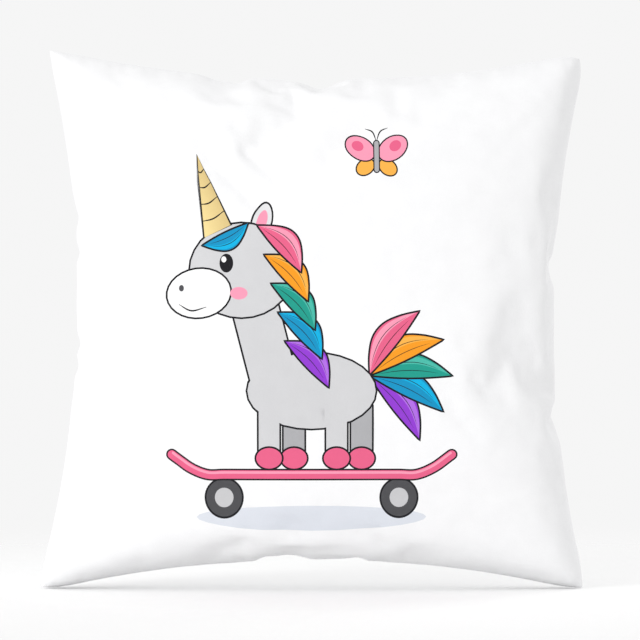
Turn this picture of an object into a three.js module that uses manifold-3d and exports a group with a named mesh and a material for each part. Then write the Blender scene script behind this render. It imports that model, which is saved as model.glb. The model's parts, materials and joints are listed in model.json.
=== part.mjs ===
// Square throw cushion standing on its lower edge: a printed zip cover over a stuffed insert.
// Millimetres, +Z up, front face towards -Y, origin midway between the two lower corners.
import * as THREE from 'three';
import { mergeVertices } from 'three/addons/utils/BufferGeometryUtils.js';
import Module from 'manifold-3d';

const wasm = await Module();
wasm.setup();

// Stuffed cushion
const halfWidth = 216;
const halfHeight = 216;
const crownHalf = 69; // half the thickness, at the middle
const waistPinch = 30.5; // how far each side pulls in at its middle
const pinchReach = 4; // a higher power keeps the pull nearer to the sides
const domeFullness = 2.8;
const domeRoundness = 0.4;
const restFlatDepth = 1; // how much the back's crown is flattened where it leans

// Cloth, thread and clearances
const coverCloth = 0.8;
const coverSeamAllowance = 10;
const insertCloth = 0.6;
const insertSeamAllowance = 8;
const insertPlay = 2.5; // between the cover's seam allowance and the insert's edge
const layerPlay = 1.5; // between one layer of cloth and the next
const fillPlay = 1; // between the insert's seam allowance and the stuffing
const fillRimHalf = 3; // half the stuffing's thickness at its rim
const threadSize = 0.4;
const threadInset = 1; // seam line to the folded edge
const clearance = 0.3;
const closingStitchHalf = 60;
const closingStitchWidth = 2.2;

// Zip in the lower part of the back
const zipHeight = 95; // above the lower corners
const slitHalfLength = 165;
const slitHalfWidth = 5;
const hemDepth = 9;
const hemFold = 0.3; // how far the folded edge stands into the slit
const hemGap = 0.6; // between the cloth and its own hem
const tapeWidth = 13.3;
const tapeThickness = 0.5;
const chainGapHalf = 0.7; // half the gap between the two rows of coil
const coilEndMargin = 7; // from the last turn of coil to the end of the slit
const coilWidth = 1.9;
const coilHeight = 1.8;
const stopLength = 1.6;
const topstitchInset = 2.5;
const tackWidth = 1.2;
const tackHalfLength = 7;

// Slider and pull tab
const sliderHalfLength = 4.8;
const sliderHalfWidth = 4.2;
const sliderNoseHalfWidth = 2.6;
const sliderTailHalfWidth = 3.2;
const sliderNoseTaper = 1.2;
const sliderTailTaper = 3.3;
const sliderPlate = 1;
const sliderWall = 1;
const wallInset = 1.6; // from the slider's nose to its side walls
const wallLength = 4.4;
const sliderPlay = 0.4;
const postHalfWidth = 0.4;
const postInset = 0.8; // from the slider's nose to the post that parts the coils
const postLength = 3;
const bailHalfLength = 3.6;
const bailRise = 3.1;
const bailBar = 0.9;
const bailWidth = 1.6;
const pivotRise = 1.1; // above the slider's top plate
const tabLength = 24;
const tabThickness = 1;
const tabBar = 1.1;
const tabEyeHalfWidth = 1.5;
const tabNeckHalfWidth = 2.6;
const tabEndHalfWidth = 3.4;

// Facets
const panelSteps = 14; // also along each side of the outline
const backColumns = 18;
const upperRows = 9;
const lowerRows = 6;
const zipSteps = 14;

const seamLift = threadSize / 2 + clearance;
const zipZ = zipHeight - halfHeight;
const insertInset = coverSeamAllowance + insertPlay;

// Each layer of the cushion: how far its rim lies inside the cover's, how deep its crown lies
// under the cover's, how deep it lies at the zip, and how far its rim stands from the seam plane.
const coverOutside = { inset: 0, depth: 0, zipDepth: 0, lift: seamLift };
const coverInside = { inset: coverCloth, depth: coverCloth, zipDepth: coverCloth, lift: seamLift };

function rimHalfWidth(z, inset) {
  const share = Math.min(1, Math.abs(z) / (halfHeight - inset));
  return halfWidth - inset - waistPinch * (1 - share * share);
}

function rimHalfHeight(x, inset) {
  const share = Math.min(1, Math.abs(x) / (halfWidth - inset));
  return halfHeight - inset - waistPinch * (1 - share * share);
}

// A point of the flat square (column and row from -1 to 1) pulled in to the stuffed outline.
function outlinePoint(column, row, inset) {
  const width = halfWidth - inset - waistPinch * (1 - row * row) * Math.abs(column) ** pinchReach;
  const height = halfHeight - inset - waistPinch * (1 - column * column) * Math.abs(row) ** pinchReach;
  return { x: column * width, z: row * height };
}

// The row whose height is z, in a given column.
function rowAtHeight(column, z, inset) {
  let row = z / halfHeight;
  for (let round = 0; round < 8; round += 1) {
    row = z / (halfHeight - inset - waistPinch * (1 - column * column) * Math.abs(row) ** pinchReach);
  }
  return row;
}

function domeHeight(x, z, layer) {
  const across = Math.min(1, Math.abs(x) / rimHalfWidth(z, layer.inset));
  const up = Math.min(1, Math.abs(z) / rimHalfHeight(x, layer.inset));
  const rise = ((1 - across ** domeFullness) * (1 - up ** domeFullness)) ** domeRoundness;
  return layer.lift + (crownHalf - layer.depth - layer.lift) * rise;
}

// The zip lies on a cone round an upright axis, so that its slider can run along a true arc.
const zipCrown = domeHeight(0, zipZ, coverOutside);
const zipSag = zipCrown - domeHeight(slitHalfLength, zipZ, coverOutside);
const zipRadius = (slitHalfLength ** 2 + zipSag ** 2) / (2 * zipSag);
const zipCentreY = zipCrown - zipRadius;
const slopeSpan = 10;
const slopeRise = domeHeight(0, zipZ + slopeSpan, coverOutside)
  - domeHeight(0, zipZ - slopeSpan, coverOutside);
const zipTilt = Math.atan2(slopeRise, 2 * slopeSpan);

// A point beside the zip line: angle along it, distance across it and height off the cloth.
function zipPoint(angle, across, up) {
  const radius = zipRadius + across * Math.sin(zipTilt) + up * Math.cos(zipTilt);
  const z = zipZ + across * Math.cos(zipTilt) - up * Math.sin(zipTilt);
  return new THREE.Vector3(radius * Math.sin(angle), zipCentreY + radius * Math.cos(angle), z);
}

function zipBandHeight(x, z) {
  const across = (z - zipZ) / Math.cos(zipTilt);
  const radius = zipRadius + across * Math.sin(zipTilt);
  return zipCentreY + Math.sqrt(radius * radius - x * x);
}

const coilHalfLength = slitHalfLength - coilEndMargin;
const hemTop = -coverCloth - hemGap;
const hemBottom = hemTop - coverCloth;
const tapeTop = hemBottom - clearance;
const tapeBottom = tapeTop - tapeThickness;
const coilBottom = tapeTop + clearance;
const coilTop = coilBottom + coilHeight;
const plateBottom = coilTop + sliderPlay;
const plateTop = plateBottom + sliderPlate;
const lowerPlateTop = tapeBottom - sliderPlay;
const lowerPlateBottom = lowerPlateTop - sliderPlate;
const zipRecess = (2 * sliderPlay - lowerPlateBottom) / Math.cos(zipTilt);

const insertOutside = {
  inset: insertInset,
  depth: coverCloth + layerPlay,
  zipDepth: zipRecess,
  lift: seamLift,
};
const insertInside = {
  inset: insertInset + insertCloth,
  depth: insertOutside.depth + insertCloth,
  zipDepth: zipRecess + insertCloth,
  lift: seamLift,
};
const fillOutside = {
  inset: insertInset + insertSeamAllowance + fillPlay,
  depth: insertInside.depth + layerPlay,
  zipDepth: insertInside.zipDepth + layerPlay,
  lift: fillRimHalf,
};

const bandHalfWidth = slitHalfWidth + tapeWidth;
const bandFade = 30;
const bandEnd = 10;

// How fully the cloth follows the zip's cone: 1 beside the slit, 0 away from it.
function zipShare(x, z) {
  const besideLine = Math.abs(z - zipZ);
  const rim = rimHalfWidth(zipZ, 0);
  const nearLine = 1 - THREE.MathUtils.smoothstep(besideLine, bandHalfWidth, bandHalfWidth + bandFade);
  return nearLine * (1 - THREE.MathUtils.smoothstep(Math.abs(x), slitHalfLength, rim - bandEnd));
}

// The back follows the dome, is flattened at its crown, and follows the zip's cone beside the zip.
function backHeight(x, z, layer) {
  const crown = crownHalf - restFlatDepth - layer.depth;
  const dome = Math.min(crown, domeHeight(x, z, layer));
  const share = zipShare(x, z);
  if (share === 0) {
    return dome;
  }
  const lean = zipBandHeight(x, z) - domeHeight(x, z, coverOutside);
  return dome + share * (lean + layer.depth - layer.zipDepth);
}

function frontPoint(column, row, layer) {
  const { x, z } = outlinePoint(column, row, layer.inset);
  return new THREE.Vector3(x, -domeHeight(x, z, layer), z);
}

function backPoint(column, row, layer) {
  const { x, z } = outlinePoint(column, row, layer.inset);
  return new THREE.Vector3(x, backHeight(x, z, layer), z);
}

// Steps from -1 to 1 that crowd towards both ends, where the cloth turns most.
function edgeStep(share) {
  return Math.sin(Math.PI * (share - 0.5));
}

// A slab of quads bent by a function of three shares from 0 to 1: across, up and through.
// The diagonals run towards the four corners, so that each corner has its own ridge.
function bentSheet(columns, rows, place) {
  const points = [];
  const faces = [];
  const at = (i, j, k) => (k * (rows + 1) + j) * (columns + 1) + i;
  const addQuad = (a, b, c, d, fromFirst = true) => {
    faces.push(...(fromFirst ? [a, b, c, a, c, d] : [b, c, d, b, d, a]));
  };
  for (let k = 0; k <= 1; k += 1) {
    for (let j = 0; j <= rows; j += 1) {
      for (let i = 0; i <= columns; i += 1) {
        points.push(...place(i / columns, j / rows, k).toArray());
      }
    }
  }
  for (let j = 0; j < rows; j += 1) {
    for (let i = 0; i < columns; i += 1) {
      const rising = (i < columns / 2) === (j < rows / 2);
      addQuad(at(i, j, 1), at(i + 1, j, 1), at(i + 1, j + 1, 1), at(i, j + 1, 1), rising);
      addQuad(at(i, j + 1, 0), at(i + 1, j + 1, 0), at(i + 1, j, 0), at(i, j, 0), !rising);
    }
    addQuad(at(0, j + 1, 0), at(0, j, 0), at(0, j, 1), at(0, j + 1, 1));
    addQuad(at(columns, j, 0), at(columns, j + 1, 0), at(columns, j + 1, 1), at(columns, j, 1));
  }
  for (let i = 0; i < columns; i += 1) {
    addQuad(at(i, 0, 0), at(i + 1, 0, 0), at(i + 1, 0, 1), at(i, 0, 1));
    addQuad(at(i + 1, rows, 0), at(i, rows, 0), at(i, rows, 1), at(i + 1, rows, 1));
  }
  return asGeometry(points, faces);
}

function asGeometry(points, faces) {
  const geometry = new THREE.BufferGeometry();
  geometry.setAttribute('position', new THREE.Float32BufferAttribute(points, 3));
  geometry.setIndex(faces);
  return geometry;
}

// A strip through sections of a few corners each, which run anticlockwise seen from its far end.
// Each end is closed by a fan from the section's first corner.
function strip(sections, closed) {
  const corners = sections[0].length;
  const points = sections.flat().flatMap((point) => [point.x, point.y, point.z]);
  const faces = [];
  const last = closed ? sections.length : sections.length - 1;
  for (let k = 0; k < last; k += 1) {
    const here = corners * k;
    const next = corners * ((k + 1) % sections.length);
    for (let e = 0; e < corners; e += 1) {
      const f = (e + 1) % corners;
      faces.push(here + e, here + f, next + f, here + e, next + f, next + e);
    }
  }
  for (let e = 1; !closed && e < corners - 1; e += 1) {
    const end = corners * last;
    faces.push(0, e + 1, e, end, end + e, end + e + 1);
  }
  return asGeometry(points, faces);
}

// How many facets a stretch of the zip's arc takes.
function stepsAlong(length) {
  return Math.ceil(zipSteps * length / (2 * slitHalfLength));
}

// A strip along the zip, from one distance along its arc to another. Its profile lists
// distances across the zip and heights off the cloth.
function zipStrip(from, to, profile, steps = stepsAlong(to - from)) {
  const sections = [];
  for (let k = 0; k <= steps; k += 1) {
    const angle = THREE.MathUtils.lerp(from, to, k / steps) / zipRadius;
    sections.push(profile.map(([across, up]) => zipPoint(angle, across, up)));
  }
  return strip(sections, false);
}

function rectangle(acrossLow, acrossHigh, upLow, upHigh) {
  return [[acrossLow, upLow], [acrossLow, upHigh], [acrossHigh, upHigh], [acrossHigh, upLow]];
}

// A strip along the whole zip on its upper side, or mirrored to its lower side.
function zipBand(side, profile, halfLength = slitHalfLength) {
  const mirrored = profile.map(([across, up]) => [-across, up]).reverse();
  return zipStrip(-halfLength, halfLength, side > 0 ? profile : mirrored);
}

// A point on the stuffed outline: which of its four sides, and how far along that side.
function rimPoint(side, share, inset, y) {
  const column = [1, -share, -1, share][side];
  const row = [share, 1, -share, -1][side];
  const { x, z } = outlinePoint(column, row, inset);
  return new THREE.Vector3(x, y, z);
}

// A flat strip that follows the outline just inside it, over the sides and shares given.
function rimStrip(stations, insetLow, insetHigh, yLow, yHigh, closed) {
  const sections = stations.map(([side, share]) => [
    rimPoint(side, share, insetLow, yLow),
    rimPoint(side, share, insetLow, yHigh),
    rimPoint(side, share, insetHigh, yHigh),
    rimPoint(side, share, insetHigh, yLow),
  ]);
  return strip(sections, closed);
}

// Stations all round the outline: a side, and how far along it.
function wholeRim() {
  const stations = [];
  for (let side = 0; side < 4; side += 1) {
    for (let k = 1; k <= panelSteps; k += 1) {
      stations.push([side, edgeStep(k / panelSteps)]);
    }
  }
  return stations;
}

function toSolid(geometry) {
  const mesh = new wasm.Mesh({
    numProp: 3,
    vertProperties: new Float32Array(geometry.attributes.position.array),
    triVerts: new Uint32Array(geometry.index.array),
  });
  return new wasm.Manifold(mesh);
}

function bareSolid(geometry) {
  geometry.deleteAttribute('normal');
  geometry.deleteAttribute('uv');
  return toSolid(mergeVertices(geometry, 1e-4));
}

function toGeometry(solid) {
  const mesh = solid.getMesh();
  const geometry = new THREE.BufferGeometry();
  geometry.setAttribute('position', new THREE.BufferAttribute(mesh.vertProperties, 3));
  geometry.setIndex(new THREE.BufferAttribute(mesh.triVerts, 1));
  return geometry;
}

// One dished panel of cloth with its seam allowance turned in, in front of or behind the seam.
function dishedPanel(pointOf, side, outside, inside, allowance) {
  const layers = side < 0 ? [inside, outside] : [outside, inside];
  const sheet = bentSheet(panelSteps, panelSteps, (u, v, w) => (
    pointOf(edgeStep(u), edgeStep(v), layers[w])));
  const cloth = inside.inset - outside.inset;
  return toGeometry(toSolid(sheet).add(turnedRim(side, outside, cloth, allowance)));
}

// The upper or lower part of the cover's back: side 1 lies above the zip, side -1 below it.
// Its first row of facets is the straight band beside the zip, and the rest run on to the rim.
function zippedPanel(side, rows) {
  const layers = [coverOutside, coverInside];
  const edge = zipZ + side * clearance / 2;
  const bandEdge = zipZ + side * bandHalfWidth;
  const sheet = bentSheet(backColumns, rows, (u, v, w) => {
    const layer = layers[w];
    const column = edgeStep(u);
    const step = Math.round(rows * (side > 0 ? v : 1 - v));
    if (step === 0) {
      return backPoint(column, rowAtHeight(column, edge, layer.inset), layer);
    }
    const share = 0.5 - 0.5 * Math.cos(Math.PI * (step - 1) / (rows - 1));
    const row = THREE.MathUtils.lerp(rowAtHeight(column, bandEdge, layer.inset), side, share);
    return backPoint(column, row, layer);
  });
  const reach = slitHalfLength;
  const opening = rectangle(-slitHalfWidth, slitHalfWidth, -hemDepth, hemDepth);
  const slit = zipStrip(-reach, reach, opening, zipSteps - 1);
  const turned = turnedRim(1, coverOutside, coverCloth, coverSeamAllowance);
  return toGeometry(toSolid(sheet)
    .add(turned.trimByPlane([0, 0, side], side * edge + clearance))
    .subtract(toSolid(slit))
    .add(toSolid(zipBand(side, hemProfile(), reach - clearance))));
}

// The edge beside the zip folds under: down from the cloth's edge, then away from the slit.
function hemProfile() {
  const near = slitHalfWidth - hemFold;
  const bend = slitHalfWidth + coverCloth;
  const far = slitHalfWidth + hemDepth;
  return [
    [bend, hemTop],
    [far, hemTop],
    [far, hemBottom],
    [near, hemBottom],
    [near, -hemFold],
    [bend, -hemFold],
  ];
}

// The seam allowance turned in all round a panel, on one side of the seam plane.
function turnedRim(side, outside, cloth, allowance) {
  const near = outside.inset + cloth / 2;
  const turned = outside.lift + cloth / 4;
  const [low, high] = side < 0 ? [-turned - cloth, -turned] : [turned, turned + cloth];
  return toSolid(rimStrip(wholeRim(), near, outside.inset + allowance, low, high, true));
}

function seamThread(inset) {
  return rimStrip(wholeRim(), inset, inset + threadSize, -threadSize / 2, threadSize / 2, true);
}

// The short row of stitches that closes the insert's lower edge after filling.
function closingStitch() {
  const inset = insertInset - insertPlay / 2;
  const reach = closingStitchHalf / halfWidth;
  const stations = [];
  for (let k = 0; k <= panelSteps; k += 1) {
    stations.push([3, THREE.MathUtils.lerp(-reach, reach, k / panelSteps)]);
  }
  const half = closingStitchWidth / 2;
  return rimStrip(stations, inset, inset + threadSize, -half, half, false);
}

function fibreFill() {
  return bentSheet(panelSteps, panelSteps, (u, v, w) => {
    const pointOf = w === 0 ? backPoint : frontPoint;
    return pointOf(edgeStep(u), edgeStep(v), fillOutside);
  });
}

function topstitch(side) {
  const near = slitHalfWidth + topstitchInset;
  return zipBand(side, rectangle(near, near + threadSize, clearance, clearance + threadSize));
}

function barTack(side) {
  const middle = side * (slitHalfLength - tackWidth);
  const low = (middle - tackWidth / 2) / zipRadius;
  const high = (middle + tackWidth / 2) / zipRadius;
  const top = clearance + threadSize;
  const sections = [-tackHalfLength, tackHalfLength].map((across) => [
    zipPoint(low, across, clearance),
    zipPoint(high, across, clearance),
    zipPoint(high, across, top),
    zipPoint(low, across, top),
  ]);
  return strip(sections, false);
}

// A small metal stop past the coil's last turn, at the given end of the zip.
function zipStop(end, acrossLow, acrossHigh) {
  const near = coilHalfLength + clearance;
  const [from, to] = end > 0 ? [near, near + stopLength] : [-near - stopLength, -near];
  return zipStrip(from, to, rectangle(acrossLow, acrossHigh, coilBottom, coilTop));
}

// Slider in its own axes: X along the zip towards its open end, Y across it, Z off the cloth.
function sliderOutline() {
  const noseEnd = sliderNoseTaper - sliderHalfLength;
  const tailStart = sliderHalfLength - sliderTailTaper;
  const shape = new THREE.Shape();
  shape.moveTo(-sliderHalfLength, -sliderNoseHalfWidth);
  shape.lineTo(noseEnd, -sliderHalfWidth);
  shape.lineTo(tailStart, -sliderHalfWidth);
  shape.lineTo(sliderHalfLength, -sliderTailHalfWidth);
  shape.lineTo(sliderHalfLength, sliderTailHalfWidth);
  shape.lineTo(tailStart, sliderHalfWidth);
  shape.lineTo(noseEnd, sliderHalfWidth);
  shape.lineTo(-sliderHalfLength, sliderNoseHalfWidth);
  return shape;
}

function sliderPlateAt(bottom) {
  const options = { depth: sliderPlate, bevelEnabled: false };
  const plate = new THREE.ExtrudeGeometry(sliderOutline(), options);
  plate.translate(0, 0, bottom);
  return bareSolid(plate);
}

function boxSolid(low, high) {
  const box = new THREE.BoxGeometry(high[0] - low[0], high[1] - low[1], high[2] - low[2]);
  box.translate((low[0] + high[0]) / 2, (low[1] + high[1]) / 2, (low[2] + high[2]) / 2);
  return bareSolid(box);
}

// The bridge on top of the slider that the pull tab hangs on.
function bail() {
  const top = plateTop + bailRise;
  const inside = bailHalfLength - bailBar;
  const foot = plateBottom + sliderPlate / 2;
  const shape = new THREE.Shape();
  shape.moveTo(-bailHalfLength, foot);
  shape.lineTo(-bailHalfLength, plateTop + bailRise / 2);
  shape.quadraticCurveTo(-bailHalfLength, top, -bailHalfLength / 2, top);
  shape.lineTo(bailHalfLength / 2, top);
  shape.quadraticCurveTo(bailHalfLength, top, bailHalfLength, plateTop + bailRise / 2);
  shape.lineTo(bailHalfLength, foot);
  shape.lineTo(inside, foot);
  shape.lineTo(inside, plateTop + bailRise / 2);
  shape.quadraticCurveTo(inside, top - bailBar, bailHalfLength / 2, top - bailBar);
  shape.lineTo(-bailHalfLength / 2, top - bailBar);
  shape.quadraticCurveTo(-inside, top - bailBar, -inside, plateTop + bailRise / 2);
  shape.lineTo(-inside, foot);
  const options = { depth: bailWidth, bevelEnabled: false, curveSegments: 4 };
  const arch = new THREE.ExtrudeGeometry(shape, options);
  arch.rotateX(Math.PI / 2);
  arch.translate(0, bailWidth / 2, 0);
  return bareSolid(arch);
}

// Two plates joined by a post between the coils, with walls that hang from the top plate. The
// post and the walls run half a plate's thickness into the plates they join.
function sliderBody() {
  const overlap = sliderPlate / 2;
  const top = plateBottom + overlap;
  const postStart = postInset - sliderHalfLength;
  const postLow = [postStart, -postHalfWidth, lowerPlateTop - overlap];
  const postHigh = [postStart + postLength, postHalfWidth, top];
  const wallStart = wallInset - sliderHalfLength;
  let body = sliderPlateAt(plateBottom).add(sliderPlateAt(lowerPlateBottom)).add(bail());
  body = body.add(boxSolid(postLow, postHigh));
  for (const near of [-sliderHalfWidth, sliderHalfWidth - sliderWall]) {
    const wallLow = [wallStart, near, tapeTop + sliderPlay];
    const wallHigh = [wallStart + wallLength, near + sliderWall, top];
    body = body.add(boxSolid(wallLow, wallHigh));
  }
  return toGeometry(body);
}

// Pull tab in its own axes: X along it from the pivot, Y along the pivot, Z through its thickness.
function pullTab() {
  const eyeStart = tabBar / 2;
  const eyeEnd = bailHalfLength + 2 * sliderPlay;
  const neckEnd = eyeEnd + tabBar;
  const shape = new THREE.Shape();
  shape.moveTo(-tabBar / 2, -tabNeckHalfWidth);
  shape.lineTo(neckEnd, -tabNeckHalfWidth);
  shape.lineTo(tabLength - tabEndHalfWidth, -tabEndHalfWidth);
  shape.absarc(tabLength - tabEndHalfWidth, 0, tabEndHalfWidth, -Math.PI / 2, Math.PI / 2);
  shape.lineTo(neckEnd, tabNeckHalfWidth);
  shape.lineTo(-tabBar / 2, tabNeckHalfWidth);
  const eye = new THREE.Path();
  eye.moveTo(eyeStart, -tabEyeHalfWidth);
  eye.lineTo(eyeStart, tabEyeHalfWidth);
  eye.lineTo(eyeEnd, tabEyeHalfWidth);
  eye.lineTo(eyeEnd, -tabEyeHalfWidth);
  const gripHole = new THREE.Path();
  gripHole.absarc(tabLength - tabEndHalfWidth, 0, tabEndHalfWidth / 2, 0, 2 * Math.PI, true);
  shape.holes.push(eye, gripHole);
  const options = { depth: tabThickness, bevelEnabled: false, curveSegments: 8 };
  const tab = new THREE.ExtrudeGeometry(shape, options);
  tab.translate(0, 0, -tabThickness / 2);
  return toGeometry(bareSolid(tab));
}

// Axes of the slider where the zip is closed.
const closedReach = coilHalfLength + clearance - sliderHalfLength - sliderPlay;
const closedAngle = closedReach / zipRadius;

function sliderAxes(up) {
  const origin = zipPoint(closedAngle, 0, up);
  const across = zipPoint(closedAngle, 1, up).sub(origin);
  const off = zipPoint(closedAngle, 0, up + 1).sub(origin);
  const along = new THREE.Vector3().crossVectors(across, off);
  return new THREE.Matrix4().makeBasis(along, across, off).setPosition(origin);
}

const white = { color: 0xf3f3f5, roughness: 0.9 };
const nonwoven = { color: 0xefefec, roughness: 0.95 };
const fibre = { color: 0xfafafa, roughness: 1 };
const thread = { color: 0xe9e9ea, roughness: 0.7 };
const tape = { color: 0xe6e6e6, roughness: 0.85 };
const nylon = { color: 0xf2f2ee, roughness: 0.4 };
const nickel = { color: 0xb9bbbe, roughness: 0.3, metalness: 1 };

const cushion = new THREE.Group();
cushion.position.z = halfHeight;

function addPiece(name, geometry, finish) {
  const mesh = new THREE.Mesh(geometry, new THREE.MeshStandardMaterial(finish));
  mesh.name = name;
  cushion.add(mesh);
  return mesh;
}

const coverFront = dishedPanel(frontPoint, -1, coverOutside, coverInside, coverSeamAllowance);
addPiece('front_panel', coverFront, white);
addPiece('back_panel_upper', zippedPanel(1, upperRows), white);
addPiece('back_panel_lower', zippedPanel(-1, lowerRows), white);
addPiece('edge_seam_thread', seamThread(threadInset), thread);

const coilFar = chainGapHalf + coilWidth;
const tapeProfile = rectangle(chainGapHalf, chainGapHalf + tapeWidth, tapeBottom, tapeTop);
const coilProfile = rectangle(chainGapHalf, coilFar, coilBottom, coilTop);
for (const [place, side] of [['upper', 1], ['lower', -1]]) {
  addPiece(`zip_tape_${place}`, zipBand(side, tapeProfile), tape);
  addPiece(`zip_coil_${place}`, zipBand(side, coilProfile, coilHalfLength), nylon);
  addPiece(`zip_topstitch_${place}`, topstitch(side), thread);
}
addPiece('zip_top_stop_upper', zipStop(1, chainGapHalf, coilFar), nickel);
addPiece('zip_top_stop_lower', zipStop(1, -coilFar, -chainGapHalf), nickel);
addPiece('zip_bottom_stop', zipStop(-1, -coilFar, coilFar), nickel);
addPiece('zip_bar_tack_closed_end', barTack(1), thread);
addPiece('zip_bar_tack_open_end', barTack(-1), thread);

const slider = addPiece('zip_slider_body', sliderBody(), nickel);
slider.applyMatrix4(sliderAxes(0));
const tab = addPiece('zip_pull_tab', pullTab(), nickel);
tab.applyMatrix4(sliderAxes(plateTop + pivotRise));

const insertLayers = [insertOutside, insertInside, insertSeamAllowance];
addPiece('insert_front_panel', dishedPanel(frontPoint, -1, ...insertLayers), nonwoven);
addPiece('insert_back_panel', dishedPanel(backPoint, 1, ...insertLayers), nonwoven);
addPiece('insert_seam_thread', seamThread(insertInset + threadInset), thread);
addPiece('insert_closing_stitch', closingStitch(), thread);
addPiece('fibre_fill', fibreFill(), fibre);

export default cushion;
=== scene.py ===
# A printed square throw cushion that stands on its two lower corners, with a zip across its back.
# Metres, +Z up, front face towards -Y. Drawings on the cloth are laid out in millimetres.
import json
import math

import bmesh
import bpy
import numpy as np
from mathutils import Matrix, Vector
from mathutils.geometry import delaunay_2d_cdt


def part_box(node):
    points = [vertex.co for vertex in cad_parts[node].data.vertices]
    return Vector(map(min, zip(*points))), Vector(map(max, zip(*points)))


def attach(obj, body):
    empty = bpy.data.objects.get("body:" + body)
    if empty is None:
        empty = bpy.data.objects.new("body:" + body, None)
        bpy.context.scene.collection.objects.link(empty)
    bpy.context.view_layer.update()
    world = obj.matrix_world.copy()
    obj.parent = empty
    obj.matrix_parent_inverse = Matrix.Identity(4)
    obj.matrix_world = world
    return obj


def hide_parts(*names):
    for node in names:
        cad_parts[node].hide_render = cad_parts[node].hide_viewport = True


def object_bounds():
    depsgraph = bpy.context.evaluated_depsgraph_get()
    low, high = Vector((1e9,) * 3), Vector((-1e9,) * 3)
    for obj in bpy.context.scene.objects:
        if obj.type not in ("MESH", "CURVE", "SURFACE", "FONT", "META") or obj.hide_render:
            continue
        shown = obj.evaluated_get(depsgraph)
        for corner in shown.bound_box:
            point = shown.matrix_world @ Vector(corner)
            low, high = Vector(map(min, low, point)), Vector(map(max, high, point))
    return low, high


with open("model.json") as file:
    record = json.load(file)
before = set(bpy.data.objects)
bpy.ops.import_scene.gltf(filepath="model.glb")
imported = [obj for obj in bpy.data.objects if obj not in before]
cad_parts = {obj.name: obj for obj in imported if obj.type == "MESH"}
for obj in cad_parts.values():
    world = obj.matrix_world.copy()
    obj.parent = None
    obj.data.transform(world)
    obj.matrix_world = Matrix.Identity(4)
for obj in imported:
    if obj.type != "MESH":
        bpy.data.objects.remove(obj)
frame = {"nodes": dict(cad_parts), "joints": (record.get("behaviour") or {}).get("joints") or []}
cad_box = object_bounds()
mm = 0.001


# ---- Camera -------------------------------------------------------------------------------
# A long lens looks straight at the front of the cushion from a little over three metres away.
camera_distance = 3.2
camera_aside = 6.6 * mm
camera_below_middle = 1.4 * mm
lens_length = 225
sensor_width = 36

low_corner, high_corner = cad_box
middle_height = (low_corner.z + high_corner.z) / 2
half_width = (high_corner.x - low_corner.x) / 2
half_height = (high_corner.z - low_corner.z) / 2

camera = bpy.data.objects.new("camera", bpy.data.cameras.new("camera"))
camera.data.lens = lens_length
camera.data.sensor_width = sensor_width
camera.location = (camera_aside, -camera_distance, middle_height - camera_below_middle)
camera.rotation_euler = (math.pi / 2, 0, 0)
bpy.context.scene.collection.objects.link(camera)
bpy.context.scene.camera = camera


# ---- Studio -------------------------------------------------------------------------------
# A pale floor that fades into a plain pale surround, one big soft lamp on the left of the
# front, and two weaker ones that keep the right side and the back from going dark.
class Wire:
    """One socket of a shader. Sums on it add Math nodes, and node() adds any other node."""

    def __init__(self, tree, socket=None):
        self.tree = tree
        self.socket = socket

    def node(self, kind, settings=None, values=None, output=0):
        made = self.tree.nodes.new(kind)
        for name, setting in (settings or {}).items():
            setattr(made, name, setting)
        for name, value in (values or {}).items():
            if isinstance(value, Wire):
                self.tree.links.new(value.socket, made.inputs[name])
            else:
                made.inputs[name].default_value = value
        return Wire(self.tree, made.outputs[output])

    def sum_with(self, operation, *values):
        return self.node("ShaderNodeMath", {"operation": operation}, dict(enumerate(values)))

    def __add__(self, other):
        return self.sum_with("ADD", self, other)

    def __radd__(self, other):
        return self.sum_with("ADD", other, self)

    def __sub__(self, other):
        return self.sum_with("SUBTRACT", self, other)

    def __rsub__(self, other):
        return self.sum_with("SUBTRACT", other, self)

    def __mul__(self, other):
        return self.sum_with("MULTIPLY", self, other)

    def __rmul__(self, other):
        return self.sum_with("MULTIPLY", other, self)

    def __truediv__(self, other):
        return self.sum_with("DIVIDE", self, other)

    def __pow__(self, other):
        return self.sum_with("POWER", self, other)

    def clipped(self):
        return self.node("ShaderNodeClamp", values={"Value": self})

    def between(self, start, end):
        """A colour from start where this is 0 to end where it is 1."""
        return self.node("ShaderNodeMix", {"data_type": "RGBA"}, {0: self, 6: start, 7: end}, 2)

    def place(self):
        """Where each point lies in its own piece, in metres."""
        return self.node("ShaderNodeTexCoord", output=3)

    def noise(self, place, scale, detail=2.0, distortion=0.0):
        return self.node("ShaderNodeTexNoise", values={"Vector": place, "Scale": scale, "Detail": detail,
                                                       "Distortion": distortion})

    def stretched(self, place, shares):
        return self.node("ShaderNodeVectorMath", {"operation": "MULTIPLY"}, {0: place, 1: shares})


def dye(red, green, blue):
    """A colour given as eight-bit display values, as the linear light that shaders use."""
    light = [(part / 255 / 12.92) if part < 11 else ((part / 255 + 0.055) / 1.055) ** 2.4
             for part in (red, green, blue)]
    return (*light, 1)


def new_finish(name, roughness, settings=None):
    """A material, its surface shader and a wire to build on. Settings are the same all over."""
    material = bpy.data.materials.new(name)
    material.use_nodes = True
    tree = material.node_tree
    surface = tree.nodes["Principled BSDF"]
    surface.inputs["Roughness"].default_value = roughness
    for socket, value in (settings or {}).items():
        surface.inputs[socket].default_value = value
    return material, surface, Wire(tree)


def feed(surface, socket, wire):
    wire.tree.links.new(wire.socket, surface.inputs[socket])


def relief(start, height, strength, depth):
    """A Bump node's normal for a height in units of depth, in metres."""
    return start.node("ShaderNodeBump", values={"Height": height, "Strength": strength,
                                                "Distance": depth})


surround_light = 0.92
floor_reach = 1.1
floor_fade_start = 0.25
floor_tone = (0.95, 0.95, 0.95, 1)

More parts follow.
